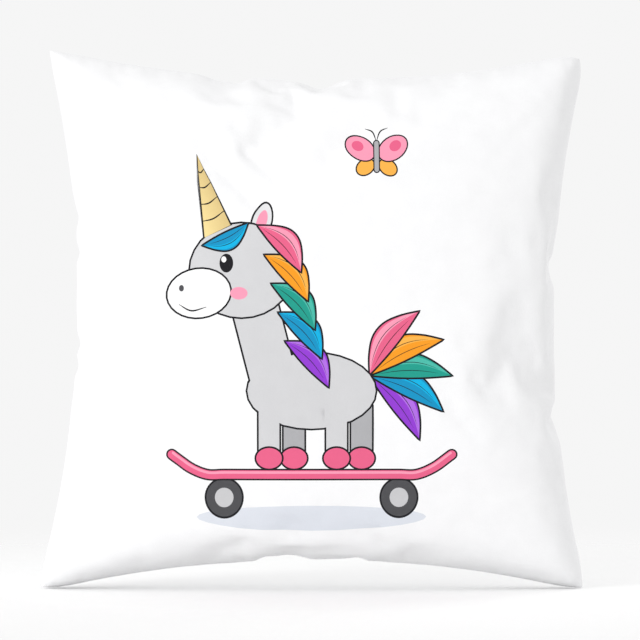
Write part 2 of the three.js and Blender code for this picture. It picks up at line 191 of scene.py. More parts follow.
scene = bpy.context.scene
scene.view_settings.view_transform = "Standard"
world = bpy.data.worlds.new("surround")
world.use_nodes = True
backdrop = world.node_tree.nodes["Background"]
backdrop.inputs["Color"].default_value = (1, 1, 1, 1)
backdrop.inputs["Strength"].default_value = surround_light
scene.world = world


def placed(name, data):
    """A new object in the scene that shows a mesh or a lamp."""
    made = bpy.data.objects.new(name, data)
    scene.collection.objects.link(made)
    return made


def pale_floor():
    floor_mesh = bpy.data.meshes.new("floor")
    corners = [(x, y, 0) for x, y in ((-1, -1), (1, -1), (1, 1), (-1, 1))]
    floor_mesh.from_pydata([Vector(corner) * floor_reach for corner in corners], [], [(0, 1, 2, 3)])
    floor = placed("floor", floor_mesh)
    material, surface, start = new_finish("pale_floor", 0.9)
    surface.inputs["Base Color"].default_value = floor_tone
    place = start.place()
    distance = start.node("ShaderNodeVectorMath", {"operation": "LENGTH"}, {0: place}, 1)
    shown = 1 - (distance - floor_fade_start) / (floor_reach - floor_fade_start)
    feed(surface, "Alpha", shown.clipped() ** 2)
    floor_mesh.materials.append(material)


def softbox(name, place, width, watts):
    lamp = bpy.data.lights.new(name, "AREA")
    lamp.shape = "DISK"
    lamp.size = width
    lamp.energy = watts
    lamp_object = placed(name, lamp)
    lamp_object.location = place
    aim = Vector((0, 0, middle_height)) - lamp_object.location
    lamp_object.rotation_euler = aim.to_track_quat("-Z", "Y").to_euler()


pale_floor()
softbox("key_lamp", Vector((-2.5, -2.8, 1.0)), 1.6, 60)
softbox("fill_lamp", Vector((2.6, -2.2, 1.0)), 2.0, 2.5)
softbox("back_lamp", Vector((1.8, 2.6, 1.7)), 1.4, 15)


# ---- Stuffed shape ------------------------------------------------------------------------
# Two squares of cloth are sewn together round the edge and pushed apart by the stuffing, so the
# sides pull in between the corners and the cloth gathers a little along the seam.
cut_width = 450 * mm
cloth_cells = 48
puff_frames = 45
puff_pressure = 2.2
puff_quality = 8
first_puff = 4 * mm
cloth_mass = 0.2
cloth_stretch = 60
squeeze_share = 0.3  # of the stretch stiffness
shear_share = 0.15
cloth_bending = 0.1
cloth_damping = 5
air_drag = 2
wrinkle_spread = 3  # cells
wrinkle_share = 0.7
sewn_corners = mm * np.array([[(-221, -220), (-211.5, 216.2)], [(220.5, -219.5), (221, 214.5)]])
side_pull = {-1: 29 * mm, 1: 28 * mm}
end_pull = {-1: 27.3 * mm, 1: 25.8 * mm}
pull_reach = 4
dome_fullness = 2.8
dome_roundness = 0.48
seam_lift = 0.5 * mm
back_flat = 1 * mm
front_crown = -low_corner.y
round_reach = 34 * mm
corner_tuck = {(-1, -1): 5 * mm, (1, -1): 4 * mm, (-1, 1): 2 * mm, (1, 1): 7 * mm}


def squares_of(grid, flipped=False):
    """The four-sided faces between the points of a grid, as rows of their numbers."""
    faces = np.stack([grid[:-1, :-1], grid[:-1, 1:], grid[1:, 1:], grid[1:, :-1]], -1).reshape(-1, 4)
    return faces[:, ::-1] if flipped else faces


def pushed_apart():
    """Both panels as the stuffing leaves them: side, row, column and x, y, z."""
    corners = np.linspace(-1, 1, cloth_cells + 1)
    places, numbers = [], {}
    for side in (0, 1):
        for j, t in enumerate(corners):
            for i, s in enumerate(corners):
                on_seam = abs(s) == 1 or abs(t) == 1
                key = (i, j, 0 if on_seam else side)
                if key not in numbers:
                    numbers[key] = len(places)
                    rise = first_puff * (1 - s * s) * (1 - t * t)
                    places.append((s * cut_width / 2, (2 * side - 1) * rise, t * cut_width / 2))
    order = np.array([[[numbers.get((i, j, side), numbers.get((i, j, 0)))
                        for i in range(cloth_cells + 1)]
                       for j in range(cloth_cells + 1)] for side in (0, 1)])
    faces = []
    for side in (0, 1):
        faces += squares_of(order[side], flipped=side == 1).tolist()
    mesh = bpy.data.meshes.new("pushed_apart")
    mesh.from_pydata(places, [], faces)
    case = placed("pushed_apart", mesh)
    cloth = case.modifiers.new("cloth", "CLOTH")
    for name, setting in {"quality": puff_quality, "mass": cloth_mass, "tension_stiffness": cloth_stretch,
                          "compression_stiffness": cloth_stretch * squeeze_share,
                          "shear_stiffness": cloth_stretch * shear_share,
                          "bending_stiffness": cloth_bending, "tension_damping": cloth_damping,
                          "compression_damping": cloth_damping, "shear_damping": cloth_damping,
                          "air_damping": air_drag, "use_pressure": True,
                          "uniform_pressure_force": puff_pressure}.items():
        setattr(cloth.settings, name, setting)
    cloth.settings.effector_weights.gravity = 0
    cloth.collision_settings.use_collision = False
    cloth.point_cache.frame_start = 1
    cloth.point_cache.frame_end = puff_frames
    for moment in range(1, puff_frames + 1):
        scene.frame_set(moment)
    puffed = case.evaluated_get(bpy.context.evaluated_depsgraph_get()).data
    found = np.empty(len(places) * 3)
    puffed.vertices.foreach_get("co", found)
    bpy.data.objects.remove(case)
    scene.frame_set(1)
    return found.reshape(-1, 3)[order]


def evened(grid):
    """The grid with everything narrower than a few cells smoothed away."""
    reach = 3 * wrinkle_spread
    steps = np.arange(-reach, reach + 1)
    shares = np.exp(-0.5 * (steps / wrinkle_spread) ** 2)
    shares /= shares.sum()
    for axis in (0, 1):
        edges = [(0, 0)] * 3
        edges[axis] = (reach, reach)
        wide = np.pad(grid, edges, mode="reflect", reflect_type="odd")
        count = grid.shape[axis]
        grid = sum(share * np.take(wide, range(k, k + count), axis)
                   for k, share in enumerate(shares))
    return grid


wrinkles = np.zeros((2, cloth_cells + 1, cloth_cells + 1, 3))
for side, panel in enumerate(pushed_apart()):
    wrinkles[side] = wrinkle_share * (panel - evened(panel))


def wrinkle_at(side, s, t):
    """The wrinkles' offset at flat places s and t, each from -1 to 1, on panel 0 or 1."""
    near = np.pad(wrinkles[side], ((1, 1), (1, 1), (0, 0)), mode="reflect", reflect_type="odd")

    def cell_and_shares(place):
        x = (np.clip(place, -1, 1) + 1) / 2 * cloth_cells
        cell = np.minimum(x.astype(int), cloth_cells - 1)
        f = (x - cell)[:, None]
        return cell, ((2 * f**2 - f - f**3) / 2, (2 - 5 * f**2 + 3 * f**3) / 2,
                      (f + 4 * f**2 - 3 * f**3) / 2, (f**3 - f**2) / 2)

    column, column_shares = cell_and_shares(s)
    row, row_shares = cell_and_shares(t)
    return sum(row_shares[b] * column_shares[a] * near[row + b, column + a]
               for a in range(4) for b in range(4))


def pull_at(pulls, place):
    return np.where(place < 0, pulls[-1], pulls[1])


def pulled_in(s, t):
    """Where flat places s and t lie across and up, once the sides have pulled in."""
    x, z = 0, 0
    for right in (0, 1):
        for up in (0, 1):
            share = (0.5 + (right - 0.5) * s) * (0.5 + (up - 0.5) * t)
            x = x + share * sewn_corners[right, up, 0]
            z = z + share * sewn_corners[right, up, 1]
    x = x - s * pull_at(side_pull, s) * (1 - t * t) * np.abs(s) ** pull_reach
    z = z - t * pull_at(end_pull, t) * (1 - s * s) * np.abs(t) ** pull_reach
    return x, z


def flat_to_outline(s, t):
    """The same, with the corners rounded as they are sewn."""
    x, z = pulled_in(s, t)
    for (right, up), tuck in corner_tuck.items():
        from_corner = np.hypot(1 - right * s, 1 - up * t) * cut_width / 2
        turn = tuck * np.maximum(0, 1 - from_corner / round_reach) ** 2
        x, z = x - right * turn, z - up * turn
    return x, z


def outline_to_flat(x, z):
    """The flat places s and t that lie at x across and z up."""
    s, t = x / half_width, z / half_height
    for _ in range(16):
        found_x, found_z = flat_to_outline(s, t)
        s, t = s + (x - found_x) / half_width, t + (z - found_z) / half_height
    return s, t


def dome(s, t):
    """How far the stuffing pushes the cloth out, from 0 at the seam to 1 in the middle."""
    x, z = pulled_in(s, t)
    right, up = (x > 0).astype(int), (z > 0).astype(int)
    left_x, right_x = sewn_corners[0, up, 0], sewn_corners[1, up, 0]
    low_z, high_z = sewn_corners[right, 0, 1], sewn_corners[right, 1, 1]
    rim_s = np.clip((2 * x - left_x - right_x) / (right_x - left_x), -1, 1)
    rim_t = np.clip((2 * z - low_z - high_z) / (high_z - low_z), -1, 1)
    across = x / pulled_in(2 * right - 1, rim_t)[0]
    rise = z / pulled_in(rim_s, 2 * up - 1)[1]
    room = (1 - np.minimum(1, across) ** dome_fullness) * (1 - np.minimum(1, rise) ** dome_fullness)
    return room ** dome_roundness


pucker_height = 0.55 * mm
pucker_length = 11 * mm
pucker_reach = 4.5 * mm


def puckers(s, t):
    """Small gathers that the stitches make along the seam, with none on the seam itself."""
    beside = np.abs(s) > np.abs(t)
    along = np.where(beside, t, s) * cut_width / 2
    inward = (1 - np.maximum(np.abs(s), np.abs(t))) * cut_width / 2 / pucker_reach
    phase = along / pucker_length + 0.35 * np.sin(along / (23 * mm)) + 0.3 * np.sign(s + 2 * t)
    wave = 0.5 + 0.5 * np.cos(2 * math.pi * phase)
    return pucker_height * wave * inward * np.exp(1 - inward)


def front_cloth(s, t):
    """Points of the cover's front, outside, at flat places s and t."""
    x, z = flat_to_outline(s, t)
    y = -seam_lift - (front_crown - seam_lift) * dome(s, t) - puckers(s, t)
    return np.stack([x, y, z + middle_height], -1) + wrinkle_at(0, s, t)


# ---- Printed front ------------------------------------------------------------------------
# The cover's front is one square of soft white polyester cloth, printed before sewing with a
# plain drawing of a unicorn on a skateboard, made of ovals, bars and tufts. The ink soaks into
# the cloth, and the seam allowance is turned in.
cloth_thickness = 0.8 * mm
seam_allowance = 10 * mm
print_scale = 0.98  # the front's crown stands nearer than the seam does
print_layers = []
ink = dye(22, 22, 27)
white = dye(255, 255, 255)
cloth_white = dye(252, 252, 253)
outline_width = 1.5  # mm, as all of the drawing's sizes
strand_width = 0.55
strand_shares = (0.35, 0.68)  # of the way across a lock
band_shares = (0.12, 0.42)


def curve_through(points, steps=7):
    """A smooth line through a few points, with each stretch in equal steps."""
    known = np.array(points, float)
    if len(known) == 2:
        return known
    known = np.vstack([2 * known[0] - known[1], known, 2 * known[-1] - known[-2]])
    line = []
    for a, b, c, d in zip(known, known[1:], known[2:], known[3:]):
        for f in np.arange(steps) / steps:
            line.append(b + f * (c - a) / 2 + f**2 * (a - 2.5 * b + 2 * c - d / 2)
                        + f**3 * (1.5 * b - 1.5 * c + (d - a) / 2))
    line.append(known[-2])
    return np.array(line)


def oval(x, z, half_across, half_up, tilt=0, steps=28):
    turn = np.arange(steps) * 2 * math.pi / steps
    across, up = half_across * np.cos(turn), half_up * np.sin(turn)
    lean = math.radians(tilt)
    return np.stack([x + across * math.cos(lean) - up * math.sin(lean),
                     z + across * math.sin(lean) + up * math.cos(lean)], -1)


def grown(outline, distance):
    """The outline moved outwards by a distance, or inwards where it is negative."""
    ahead, behind = np.roll(outline, -1, 0), np.roll(outline, 1, 0)
    along = ahead - behind
    along /= np.maximum(np.hypot(*along.T), 1e-6)[:, None]
    turned_left = np.cross(outline - behind, ahead - outline).sum() > 0
    return outline + distance * np.stack([along[:, 1], -along[:, 0]], -1) * (1 if turned_left else -1)


def fade(start_colour, end_colour, start, end):
    """Ink that changes from one colour to another between two places."""
    def colour_at(places):
        way = np.subtract(end, start)
        share = np.clip((places - start) @ way / (way @ way), 0, 1)[:, None]
        return (1 - share) * start_colour + share * np.array(end_colour)
    return colour_at


def paint(outline, colour, within=None):
    print_layers.append((outline, colour, within))


def inked(outline, colour, width=outline_width):
    """A patch of colour with a drawn line round it. Gives back the patch's own outline."""
    paint(grown(outline, width / 2), ink)
    inner = grown(outline, -width / 2)
    paint(inner, colour)
    return inner


def drawn_line(points, width, colour=ink, within=None, blunt=0.15):
    """A brush line that swells in the middle and thins out at both ends."""
    middle = curve_through(points)
    along = np.gradient(middle, axis=0)
    along /= np.hypot(*along.T)[:, None]
    share = np.linspace(0, 1, len(middle))
    swell = np.maximum(blunt, np.sin(math.pi * share) ** 0.6)[:, None]
    aside = np.stack([along[:, 1], -along[:, 0]], -1) * swell * width / 2
    paint(np.vstack([middle + aside, (middle - aside)[::-1]]), colour, within)


def bar(points, half, aside=0):
    """The outline of a bar with round ends, which may lie beside the line through its points."""
    middle = curve_through(points)
    along = np.gradient(middle, axis=0)
    along /= np.hypot(*along.T)[:, None]
    left = np.stack([-along[:, 1], along[:, 0]], -1)
    middle = middle + aside * left
    turns = np.linspace(0, math.pi, 9)[1:-1, None]
    last_cap = middle[-1] + half * (np.cos(turns) * left[-1] + np.sin(turns) * along[-1])
    first_cap = middle[0] - half * (np.cos(turns) * left[0] + np.sin(turns) * along[0])
    return np.vstack([middle + half * left, last_cap, (middle - half * left)[::-1], first_cap])


def between_edges(first, second, share):
    return (1 - share) * curve_through(first) + share * curve_through(second)


def lock(first_edge, second_edge, colour, bright):
    """A lock of hair between two edges, with a brighter band and two drawn strands."""
    edge, other = curve_through(first_edge), curve_through(second_edge)
    inner = inked(np.vstack([edge, other[-2:0:-1]]), colour)
    band = [between_edges(first_edge, second_edge, share) for share in band_shares]
    paint(np.vstack([band[0], band[1][::-1]]), bright, inner)
    for share in strand_shares:
        strand = between_edges(first_edge, second_edge, share)
        drawn_line(strand[len(strand) // 9: -len(strand) // 9: 5], strand_width, within=inner)


def tuft(root, tip, fullness, colour, bright):
    """A lock of hair that bows out between its root and its tip."""
    root, tip = np.array(root, float), np.array(tip, float)
    aside = np.array((root[1] - tip[1], tip[0] - root[0])) / math.dist(root, tip)
    share = np.linspace(0, 1, 6)[:, None]
    swell = fullness / 2 * np.sin(math.pi * share)
    middle = root + share * (tip - root) + 0.8 * swell * aside
    lock(middle + swell * aside, middle - swell * aside, colour, bright)


pink, pink_light = dye(238, 102, 142), dye(253, 160, 187)
teal, teal_light = dye(30, 160, 142), dye(75, 190, 172)
blue, blue_dark = dye(0, 182, 232), dye(10, 150, 200)
purple, purple_light = dye(150, 62, 214), dye(180, 112, 232)
orange, orange_light = dye(252, 160, 32), dye(255, 184, 78)
coat, coat_pale, coat_dark = dye(214, 214, 216), dye(230, 230, 232), dye(178, 178, 181)

hair_colours = ((purple, purple_light), (blue_dark, blue), (teal, teal_light), (orange, orange_light),
                (pink, pink_light))

# An oval shadow on the ground and a skateboard whose two ends turn up alike.
ground = -158
paint(oval(0, ground, 92, 9), dye(226, 230, 238))
wheel_size = 15
for wheel_x in (-70, 70):
    inked(oval(wheel_x, ground + wheel_size, wheel_size, wheel_size, steps=40), dye(80, 80, 83))
    paint(oval(wheel_x, ground + wheel_size, wheel_size / 2, wheel_size / 2), dye(205, 205, 207))
deck_reach, deck_rise, deck_height, deck_half = 112, 16, -125, 4
deck_line = [(share * deck_reach, deck_height + deck_rise * max(0, 4 * abs(share) - 3) ** 1.5)
             for share in np.linspace(-1, 1, 17)]
deck = inked(bar(deck_line, deck_half), pink, 1.3)
paint(bar(deck_line, 1.0, 1.6), pink_light, deck)

# The tail is a fan of tufts behind an oval body on four straight legs.
tail_root, tail_length, tuft_fullness = np.array((46, -46)), 66, 20
for lean, (colour, bright) in zip((-52, -26, 0, 26, 52), hair_colours):
    turn = math.radians(lean)
    way = np.array((math.cos(turn), math.sin(turn)))
    tuft(tail_root, tail_root + tail_length * way, tuft_fullness, colour, bright)
body_middle, body_half = (0, -58), (52, 31)
leg_half, hoof_half, sole = 9, 9, deck_height + deck_half


def leg(x, colour):
    inked(bar([(x, body_middle[1] - 12), (x, sole + hoof_half)], leg_half), colour)
    inked(oval(x, sole + hoof_half, leg_half + 2, hoof_half), pink)


leg(-14, coat_dark)
leg(40, coat_dark)
inked(oval(*body_middle, *body_half), coat)
inked(bar([(-30, -50), (-48, 20)], 19), coat)
leg(-34, coat)
leg(20, coat)
paint(oval(*body_middle, body_half[0] - 1, body_half[1] - 1), coat)

# The head is seen from the side, with an oval muzzle, one round eye and a plain cone for a horn.
inked(oval(-40, 76, 8, 17, -14), coat_pale)
paint(oval(-40, 76, 4, 11, -14), pink_light)
inked(oval(-56, 38, 42, 38), coat)
inked(oval(-90, 20, 26, 20, 8), white)
paint(oval(-68, 44, 5.5, 7.5), ink)
paint(oval(-70, 47, 2, 2.4), white)
paint(oval(-104, 24, 2, 2.6), dye(82, 82, 86))
paint(oval(-58, 20, 7, 5), pink_light)
drawn_line([(-106, 11), (-96, 6), (-84, 9)], 1.3, blunt=0.4)
gold, gold_shade = dye(252, 228, 160), dye(222, 196, 134)
horn_left, horn_right, horn_tip = np.array((-86, 64)), np.array((-64, 74)), np.array((-92, 130))
horn = inked(np.array([horn_left, horn_right, horn_tip], float),
             fade(gold, gold_shade, horn_left, horn_right))
for share in (0.2, 0.4, 0.6, 0.8):
    left, right = horn_left + share * (horn_tip - horn_left), horn_right + share * (horn_tip - horn_right)
    drawn_line([left, (left + right) / 2 - (0, 2), right], 1.2, within=horn, blunt=0.6)

# The mane is a row of tufts down the back of the neck, with one more over the brow.
for share, (colour, bright) in zip(np.linspace(1, 0, 5), hair_colours):
    root = np.array((-44 + 22 * share, 74 - 92 * share))
    tuft(root, root + (36, -38), tuft_fullness, colour, bright)
tuft((-50, 76), (-88, 58), 15, blue_dark, blue)

# A butterfly with oval wings in the free corner of the cloth.
butterfly_x, butterfly_z = 52, 128
for side in (-1, 1):
    inked(oval(butterfly_x + side * 9, butterfly_z - 8, 8, 6, -side * 35), orange_light, 1.1)
    inked(oval(butterfly_x + side * 13, butterfly_z + 7, 13, 9, side * 35), pink_light, 1.1)
    paint(oval(butterfly_x + side * 15, butterfly_z + 9, 5, 4, side * 35), pink)
    drawn_line([(butterfly_x, butterfly_z + 12), (butterfly_x + side * 3, butterfly_z + 20),
                (butterfly_x + side * 9, butterfly_z + 23)], 1.1, blunt=0.4)
inked(bar([(butterfly_x, butterfly_z - 10), (butterfly_x, butterfly_z + 11)], 2.2), coat_dark, 0.9)

# The cloth is cut into triangles along every printed edge, so that each one has one ink.
weave_step = 4.4 * mm
seam_steps = (0, 1.2, 3, 5.4, 8.4)
seam_step_along = 2.2 * mm
nearest_to_print = 1.1
merge_distance = 0.01 * mm


def cloth_places():
    """Flat places over the whole panel, closer together beside the seam."""
    half = cut_width / 2 / mm
    across = np.linspace(-1, 1, round(cut_width / weave_step) + 1)
    inner = [(s, t) for s in across for t in across
             if max(abs(s), abs(t)) < 1 - (seam_steps[-1] + 1.5) / half]
    rings = []
    count = round(cut_width / seam_step_along)
    for step in seam_steps:
        edge = 1 - step / half
        for k in range(count):
            way = -edge + 2 * edge * k / count
            rings += [(way, -edge), (edge, way), (-way, edge), (-edge, -way)]
    return np.array(rings), np.array(inner), count


def inside(outline, places):
    """Which places lie inside an outline, by how often it winds round them."""
    x, z = places.T
    turns = np.zeros(len(places), int)
    ahead = np.roll(outline, -1, 0)
    for (ax, az), (bx, bz) in zip(outline, ahead):
        left = (bx - ax) * (z - az) - (x - ax) * (bz - az)
        turns += (az <= z) & (bz > z) & (left > 0)
        turns -= (az > z) & (bz <= z) & (left < 0)
    return turns != 0


def printed_triangles():
    rings, inner, count = cloth_places()
    to_flat = cut_width / 2 / mm
    edges, points = [], []
    for outline, _, _ in print_layers:
        s, t = outline_to_flat(*(outline * print_scale * mm).T)
        first = len(points)
        points += np.stack([s, t], -1).tolist()
        edges += [(first + k, first + (k + 1) % len(outline)) for k in range(len(outline))]
    drawn = np.array(points)
    cell = nearest_to_print / to_flat
    taken = {(round(s / cell), round(t / cell)) for s, t in drawn}
    inner = np.array([(s, t) for s, t in inner
                      if not any((round(s / cell) + a, round(t / cell) + b) in taken
                                 for a in (-1, 0, 1) for b in (-1, 0, 1))])
    rim = [[4 * k + side for k in range(count)] for side in range(4)]
    rim = [k for side in rim for k in side]
    base = len(rings) + len(inner)
    edges = [(a + base, b + base) for a, b in edges] + list(zip(rim, rim[1:] + rim[:1]))
    all_places = [Vector(place) for place in (*rings, *inner, *drawn)]
    found = delaunay_2d_cdt(all_places, edges, [], 0, 1e-6)
    places, triangles = np.array(found[0]), np.array(found[2])
    origins = {old: k for k, olds in enumerate(found[3]) for old in olds}
    return places, triangles, [origins[k] for k in rim]


def ink_of(places, triangles):
    """The colour at each corner of each triangle, from the drawing's layers in order."""
    x, z = flat_to_outline(*places.T)
    drawing = np.stack([x, z], -1) / mm / print_scale
    corners = drawing[triangles]
    middles = corners.mean(1)
    colours = np.tile(np.array(cloth_white), (len(triangles), 3, 1))
    for outline, colour, within in print_layers:
        low, high = outline.min(0), outline.max(0)
        near = np.flatnonzero(((middles > low) & (middles < high)).all(1))
        near = near[inside(outline, middles[near])]
        if within is not None:
            near = near[inside(within, middles[near])]
        if callable(colour):
            colours[near] = colour(corners[near].reshape(-1, 2)).reshape(-1, 3, 4)
        else:
            colours[near] = colour
    return colours


def normals_of(cloth, s, t, side):
    """Which way each point of the cloth faces, outwards from the cushion."""
    near = 1.2 * mm / cut_width
    across = cloth(np.minimum(1, s + near), t) - cloth(np.maximum(-1, s - near), t)
    up = cloth(s, np.minimum(1, t + near)) - cloth(s, np.maximum(-1, t - near))
    facing = side * np.cross(up, across)
    return facing / np.maximum(np.linalg.norm(facing, axis=1), 1e-12)[:, None]


def drawn_in(points, distance):
    """Points moved in towards the cushion's upright axis and its middle height."""
    share = 1 - distance / half_width
    return (points - (0, 0, middle_height)) * (share, 1, share) + (0, 0, middle_height)


def faced_out(mesh, merged=False):
    """Turns every face outwards and shades the mesh smooth. Points that meet may be merged."""
    made = bmesh.new()
    made.from_mesh(mesh)
    if merged:
        bmesh.ops.remove_doubles(made, verts=made.verts, dist=merge_distance)
    bmesh.ops.recalc_face_normals(made, faces=made.faces)
    made.to_mesh(mesh)
    made.free()
    mesh.shade_smooth()


def shell(name, outer, normals, triangles, seam, closed, raw_edge=(), flat=None, colours=None,
          cloth=cloth_thickness, allowance=seam_allowance):
    """A panel as thick as its cloth, with the allowance turned in along its seam."""
    side = np.sign(outer[:, 1].mean())
    inner = outer - normals * cloth
    through = np.array((0, side * cloth, 0))
    turned = drawn_in(outer[seam], allowance)
    inner[seam] = drawn_in(outer[seam], 1.3 * cloth) + through
    count, run = len(outer), len(seam)
    points = np.vstack([outer, inner, turned, turned + through])
    low = 2 * count + np.arange(run)
    rows = [np.asarray(seam), low, low + run, np.asarray(seam) + count]
    faces = [*triangles.tolist(), *(triangles[:, ::-1] + count).tolist()]
    ahead = [np.roll(row, -1) if closed else row[1:] for row in rows]
    for k in range(3):
        this = rows[k] if closed else rows[k][:-1]
        after = rows[k + 1] if closed else rows[k + 1][:-1]
        faces += np.stack([this, ahead[k], ahead[k + 1], after], -1).tolist()
    if not closed:
        faces += [[row[0] for row in rows], [row[-1] for row in rows[::-1]]]
    for a, b in zip(raw_edge, raw_edge[1:]):
        faces.append([a, b, b + count, a + count])
    mesh = bpy.data.meshes.new(name)
    mesh.from_pydata(points.tolist(), [], faces)
    panel = placed(name, mesh)
    lay_flat(mesh, flat, count)
    if colours is not None:
        tint = mesh.color_attributes.new("print", "FLOAT_COLOR", "CORNER")
        shades = np.tile(np.array(cloth_white, np.float32), (len(mesh.loops), 1))
        shades[:colours.shape[0] * 3] = colours.reshape(-1, 4)
        tint.data.foreach_set("color", shades.ravel())
    faced_out(mesh)
    mesh.set_sharp_from_angle(angle=math.radians(50))
    return panel


map_margin = 0.01
pattern_share = 0.84  # of the map's width, for the outside of the cloth
beside_start, beside_width = 0.88, 0.1
beside_foot, beside_height = 0.02, 0.9


def lay_flat(mesh, flat, count):
    """The cloth's flat pattern as its texture map: outside in one square, the rest beside it."""
    laid = mesh.uv_layers.new(name="OFBake")
    corners = np.zeros(len(mesh.loops), int)
    mesh.loops.foreach_get("vertex_index", corners)
    widths, heights = np.zeros((2, len(mesh.vertices)))
    widths[:count], heights[:count] = (map_margin + pattern_share * flat).T
    starts, totals = np.zeros(len(mesh.polygons), int), np.zeros(len(mesh.polygons), int)
    mesh.polygons.foreach_get("loop_start", starts)
    mesh.polygons.foreach_get("loop_total", totals)
    outside_loops = np.zeros(len(mesh.loops), bool)
    for start, total in zip(starts, totals):
        outside_loops[start:start + total] = (corners[start:start + total] < count).all()
    beside = np.arange(len(corners))
    u = np.where(outside_loops, widths[corners], beside_start + beside_width * (beside % 97) / 97)
    v = np.where(outside_loops, heights[corners], beside_foot + beside_height * (beside % 89) / 89)
    laid.data.foreach_set("uv", np.stack([u, v], -1).ravel())


def white_cover_cloth(name, printed):
    """Soft woven polyester: a short matt nap with faint slubs along both ways of the weave."""
    material, surface, start = new_finish(name, 0.86, {"Sheen Weight": 0.12, "Sheen Roughness": 0.5,
                                                       "Specular IOR Level": 0.25})
    place = start.place()
    nap = start.noise(place, 1400.0)
    slubs = 0
    for stretch in ((0.12, 1, 1), (1, 1, 0.12)):
        slubs = start.noise(start.stretched(place, stretch), 900.0, 1.0) + slubs
    mottle = start.noise(place, 60.0, 3.0)
    tone = (0.79 + 0.06 * mottle + 0.04 * nap).clipped()
    dyed = cloth_white
    if printed:
        dyed = start.node("ShaderNodeAttribute", {"attribute_name": "print"})
    shade = start.node("ShaderNodeCombineColor", values={0: tone, 1: tone, 2: tone})
    feed(surface, "Base Color", start.node(
        "ShaderNodeMix", {"data_type": "RGBA", "blend_type": "MULTIPLY"}, {0: 1.0, 6: dyed, 7: shade}, 2))
    feed(surface, "Roughness", 0.8 + 0.12 * nap)
    feed(surface, "Normal", relief(start, 0.6 * nap + 0.5 * slubs, 0.35, 0.25 * mm))
    return material


def make_front_panel():
    places, triangles, rim = printed_triangles()
    s, t = np.clip(places, -1, 1).T
    normals = normals_of(front_cloth, s, t, -1)
    panel = shell("front_cover", front_cloth(s, t), normals, triangles, rim, True,
                  flat=(np.stack([s, t], -1) + 1) / 2, colours=ink_of(places, triangles))
    panel.data.materials.append(white_cover_cloth("printed_cloth", True))
    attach(panel, "cushion")
    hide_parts("front_panel")


make_front_panel()


# ---- Back of the cover --------------------------------------------------------------------
# Two pieces of the same cloth, left plain, that meet at the zip low on the back. Each one folds
# under along the zip, and past its ends the two folds are sewn edge to edge.
travel = next(joint for joint in frame["joints"] if joint["name"] == "zip_slider_travel")
swing = next(joint for joint in frame["joints"] if joint["name"] == "pull_tab_swing")
zip_centre_y, zip_z = travel["pos_m"][1], travel["pos_m"][2]
zip_tilt = math.asin(math.hypot(swing["axis"][0], swing["axis"][1]))
pivot_rise = (zip_z - swing["pos_m"][2]) / math.sin(zip_tilt)
zip_radius = (math.hypot(swing["pos_m"][0], swing["pos_m"][1] - zip_centre_y)
              - pivot_rise * math.cos(zip_tilt))
closed_angle = math.atan2(swing["pos_m"][0], swing["pos_m"][1] - zip_centre_y)
slit_half_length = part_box("zip_tape_upper")[1].x
slit_angle = slit_half_length / zip_radius
slit_half_width = 5 * mm
slit_closing = 4 * mm
seam_gap = 0.15 * mm
hem_depth = 9 * mm
fold_radius = 1.1 * mm
band_half_width = 18.3 * mm
band_fade = 30 * mm
band_end = 10 * mm
zip_flat_row = -0.55
fold_bulge = 0.6
fold_steps = 6
hem_rows = (0.3, 0.65, 1)
thinnest_hem = 0.02
back_columns = 170
upper_rows = 120
lower_rows = 34


def zip_point(angle, across, up):
    """A point beside the zip: angle along it, distance across it and height off the cloth."""
    radius = zip_radius + across * math.sin(zip_tilt) + up * math.cos(zip_tilt)
    return np.stack([radius * np.sin(angle), zip_centre_y + radius * np.cos(angle),
                     zip_z + across * math.cos(zip_tilt) - up * math.sin(zip_tilt) + 0 * radius], -1)


def eased(value, start, end):
    share = np.clip((value - start) / (end - start), 0, 1)
    return share * share * (3 - 2 * share)


def zip_share(x, z):
    """How closely the cloth follows the zip: 1 beside it, and 0 away from it."""
    rim = half_width - pull_at(side_pull, x) * (1 - (zip_z - middle_height) ** 2 / half_height ** 2)
    beside = eased(np.abs(z - zip_z), band_half_width, band_half_width + band_fade)
    return (1 - beside) * (1 - eased(np.abs(x), slit_half_length, rim - band_end))


def back_cloth(s, t):
    """Points of the cover's back, outside, at flat places s and t."""
    x, z = flat_to_outline(s, t)
    crown = front_crown - seam_lift
    domed = np.minimum(high_corner.y, seam_lift + crown * dome(s, t)) + puckers(s, t)
    share = zip_share(x, z + middle_height)
    across = (z + middle_height - zip_z) / math.cos(zip_tilt)
    radius = zip_radius + across * math.sin(zip_tilt)
    cone = zip_centre_y + np.sqrt(np.maximum(0, radius**2 - x**2))
    y = (1 - share) * domed + share * cone
    loose = (1 - share)[:, None] * wrinkle_at(1, s, t)
    loose[:, 1] = np.minimum(loose[:, 1], high_corner.y - y + 2 * mm)
    return np.stack([x, y, z + middle_height], -1) + loose


def flat_row_at(s, z):
    t = z / half_height
    for _ in range(12):
        t = t + (z - flat_to_outline(s, t)[1]) / half_height
    return t


